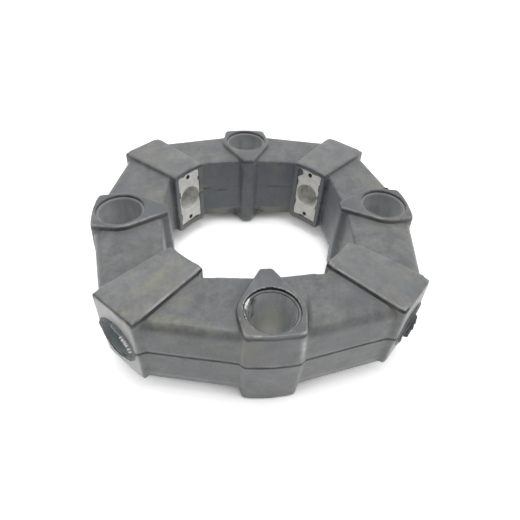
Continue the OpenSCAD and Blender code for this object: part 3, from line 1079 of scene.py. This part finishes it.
class COUPLING_OT_torn_bits(bpy.types.Operator):
    """Makes the small torn bits on the holes' rims and the thin film at the hub faces"""

    bl_idname = "coupling.torn_bits"
    bl_label = "Torn bits"

    def execute(self, context):
        material = bpy.data.materials["Torn Rubber"]
        for name, maker in (("rim_bits", self.rim_bits), ("edge_film", self.edge_film)):
            mesh = edited(bpy.data.meshes.new(name), maker, face_outwards)
            add_piece(name, mesh, "rubber", material)
        return {"FINISHED"}

    def rim_bits(self, bm):
        """Bits that lie on the rims of the upright holes."""
        torn = bm.verts.layers.float.new("torn")
        for number, (station, degrees, away, height, long, wide, tall, paleness) in enumerate(TORN_BITS):
            out, side = directions(degrees)
            axis = directions(BOSSES[station])[0] * BOLT_CIRCLE_R
            place = axis + out * (away * MM) + Vector((0, 0, height * MM))
            ragged_lump(bm, place, (long * MM, wide * MM, tall * MM), (side, out, Vector((0, 0, 1))),
                        torn, paleness, Vector((number, 3, 7)))

    def edge_film(self, bm):
        """Thin film of rubber that reaches over the edges of the bare hub faces."""
        torn = bm.verts.layers.float.new("torn")
        middle_z = MOUNTS["hub_seat"]["pos_m"][2]
        films = [(station, film) for station, row in EDGE_FILM.items() for film in row]
        for number, (station, (across, above, wide, tall)) in enumerate(films):
            out, side = directions(BLOCKS[station])
            reach = math.sqrt(HUB_SEAT_R ** 2 - (across * MM) ** 2) - 0.1 * MM
            place = out * reach + side * (across * MM) + Vector((0, 0, middle_z + above * MM))
            ragged_lump(bm, place, (wide * MM, tall * MM, FILM_HALF_THICKNESS),
                        (side, Vector((0, 0, 1)), out), torn, 0.0, Vector((number, 5, 2)))


class COUPLING_OT_metal(bpy.types.Operator):
    """Gives the sleeves and the inserts their bare metal"""

    bl_idname = "coupling.metal"
    bl_label = "Bare metal"

    def execute(self, context):
        steel, cast = sleeve_steel(), insert_metal()
        for prefix, places, material in (("axial_sleeve_", BOSSES, steel), ("radial_insert_", BLOCKS, cast)):
            for place in places:
                for slot in frame["nodes"][prefix + place].material_slots:
                    slot.material = material
        return {"FINISHED"}


class COUPLING_OT_stage(bpy.types.Operator):
    """Sets up the camera, the floor, the lamps and the background"""

    bl_idname = "coupling.stage"
    bl_label = "Stage"

    def execute(self, context):
        self.camera(context.scene)
        self.floor()
        self.light(context.scene)
        return {"FINISHED"}

    def camera(self, scene):
        """The photograph's camera: its place, turn, focal length and small shift."""
        settings = stage()
        eye, target = Vector(settings.eye), Vector(settings.target)
        back = (eye - target).normalized()
        right = Vector((0, 0, 1)).cross(back).normalized()
        up = back.cross(right)
        c, s = math.cos(settings.roll), math.sin(settings.roll)
        right, up = right * c + up * s, up * c - right * s
        data = bpy.data.cameras.new("Camera")
        data.sensor_width = SENSOR_MM
        data.lens = SENSOR_MM * settings.focal_px / IMAGE_PX
        data.shift_x = (IMAGE_PX / 2 - PRINCIPAL_PX[0]) / IMAGE_PX
        data.shift_y = (PRINCIPAL_PX[1] - IMAGE_PX / 2) / IMAGE_PX
        data.clip_start = 1 * MM
        camera = linked("Camera", data)
        camera.matrix_world = Matrix.Translation(eye) @ Matrix((right, up, back)).transposed().to_4x4()
        scene.camera = camera

    def floor(self):
        """A wide pale floor that keeps the shadow, darkened further near the part by a painted contact
        shadow, and shows white to the camera.
        """
        mesh = edited(bpy.data.meshes.new("floor"), lambda bm: bmesh.ops.create_grid(
            bm, x_segments=1, y_segments=1, size=FLOOR_HALF_WIDTH))
        material, paint = new_paint("Pale Floor")
        matt = paint.node("BsdfDiffuse", Color=FLOOR_GREY)
        # The glow fades near the part: a painted contact shadow on top of the lamps' shadow
        openness = paint.out(paint.node("AmbientOcclusion", Distance=SHADOW_REACH, samples=8), "AO")
        glow_with_painted_shadow = openness.ramp(0.05, 0.70) * FLOOR_GLOW
        bright = paint.node("Emission", Color=(1, 1, 1), Strength=glow_with_painted_shadow)
        path = paint.node("LightPath")
        camera, glossy, clear = (
            paint.out(path, label) for label in ("Is Camera Ray", "Is Glossy Ray", "Is Transmission Ray"))
        seen = camera.maths("MAXIMUM", glossy).maths("MAXIMUM", clear)
        chosen = paint.mixed(seen, paint.node("Emission", Strength=0.0), bright)
        both = paint.node("AddShader")
        paint.join(paint.out(matt), both.inputs[0])
        paint.join(paint.out(chosen), both.inputs[1])
        paint.node("OutputMaterial", Surface=paint.out(both))
        mesh.materials.append(material)
        floor = linked("floor", mesh)

    def light(self, scene):
        """Even light from all round and one large soft lamp overhead."""
        settings = stage()
        scene.view_settings.view_transform = "Standard"
        world = bpy.data.worlds.new("Studio")
        world.use_nodes = True
        scene.world = world
        world.node_tree.nodes.clear()
        paint = Paint(world.node_tree)
        facing = paint.node("VectorMath", operation="DOT_PRODUCT")
        paint.join(paint.out(paint.node("TexCoord"), "Generated"), facing.inputs[0])
        paint.join(Vector(settings.dim_centre).normalized(), facing.inputs[1])
        level = paint.node(
            "MapRange", interpolation_type="SMOOTHSTEP", Value=paint.out(facing, "Value"),
            From_Min=DIM_PATCH[0], From_Max=DIM_PATCH[1], To_Min=settings.sky_strength,
            To_Max=settings.dim_strength)
        around = paint.node("Background", Color=(1, 1, 1), Strength=paint.out(level))
        white = paint.node("Background", Color=(1, 1, 1), Strength=1.0)
        seen = paint.out(paint.node("LightPath"), "Is Camera Ray")
        paint.node("OutputWorld", Surface=paint.out(paint.mixed(seen, around, white)))
        data = bpy.data.lights.new("Key", "AREA")
        data.size = KEY_SIZE
        data.energy = settings.key_power
        lamp = linked("Key", data)
        lamp.location = (0, 0, KEY_HEIGHT)


class COUPLING_PT_panel(bpy.types.Panel):
    """Lists the steps and the settings"""

    bl_idname = "COUPLING_PT_panel"
    bl_label = "Rubber Coupling"
    bl_space_type = "VIEW_3D"
    bl_region_type = "UI"
    bl_category = "Coupling"

    def draw(self, context):
        for operator in OPERATORS:
            self.layout.operator(operator.bl_idname)
        for settings in (sizes(), colours(), stage()):
            for name in settings.__annotations__:
                self.layout.prop(settings, name)


OPERATORS = (COUPLING_OT_rubber_body, COUPLING_OT_torn_collars, COUPLING_OT_torn_bits,
             COUPLING_OT_metal, COUPLING_OT_stage)
GROUPS = (CouplingSizes, CouplingColours, CouplingStage)


def register():
    """Registers the classes and puts the settings on the scene."""
    for item in (*GROUPS, *OPERATORS, COUPLING_PT_panel):
        bpy.utils.register_class(item)
    bpy.types.Scene.coupling_sizes = PointerProperty(type=CouplingSizes)
    bpy.types.Scene.coupling_colours = PointerProperty(type=CouplingColours)
    bpy.types.Scene.coupling_stage = PointerProperty(type=CouplingStage)


def unregister():
    """Takes the settings off the scene and removes the classes."""
    del bpy.types.Scene.coupling_stage
    del bpy.types.Scene.coupling_colours
    del bpy.types.Scene.coupling_sizes
    for item in reversed((*GROUPS, *OPERATORS, COUPLING_PT_panel)):
        bpy.utils.unregister_class(item)


def main():
    """Builds everything in order."""
    register()
    bpy.ops.coupling.rubber_body()
    bpy.ops.coupling.torn_collars()
    bpy.ops.coupling.torn_bits()
    bpy.ops.coupling.metal()
    bpy.ops.coupling.stage()


if __name__ == "__main__":
    main()
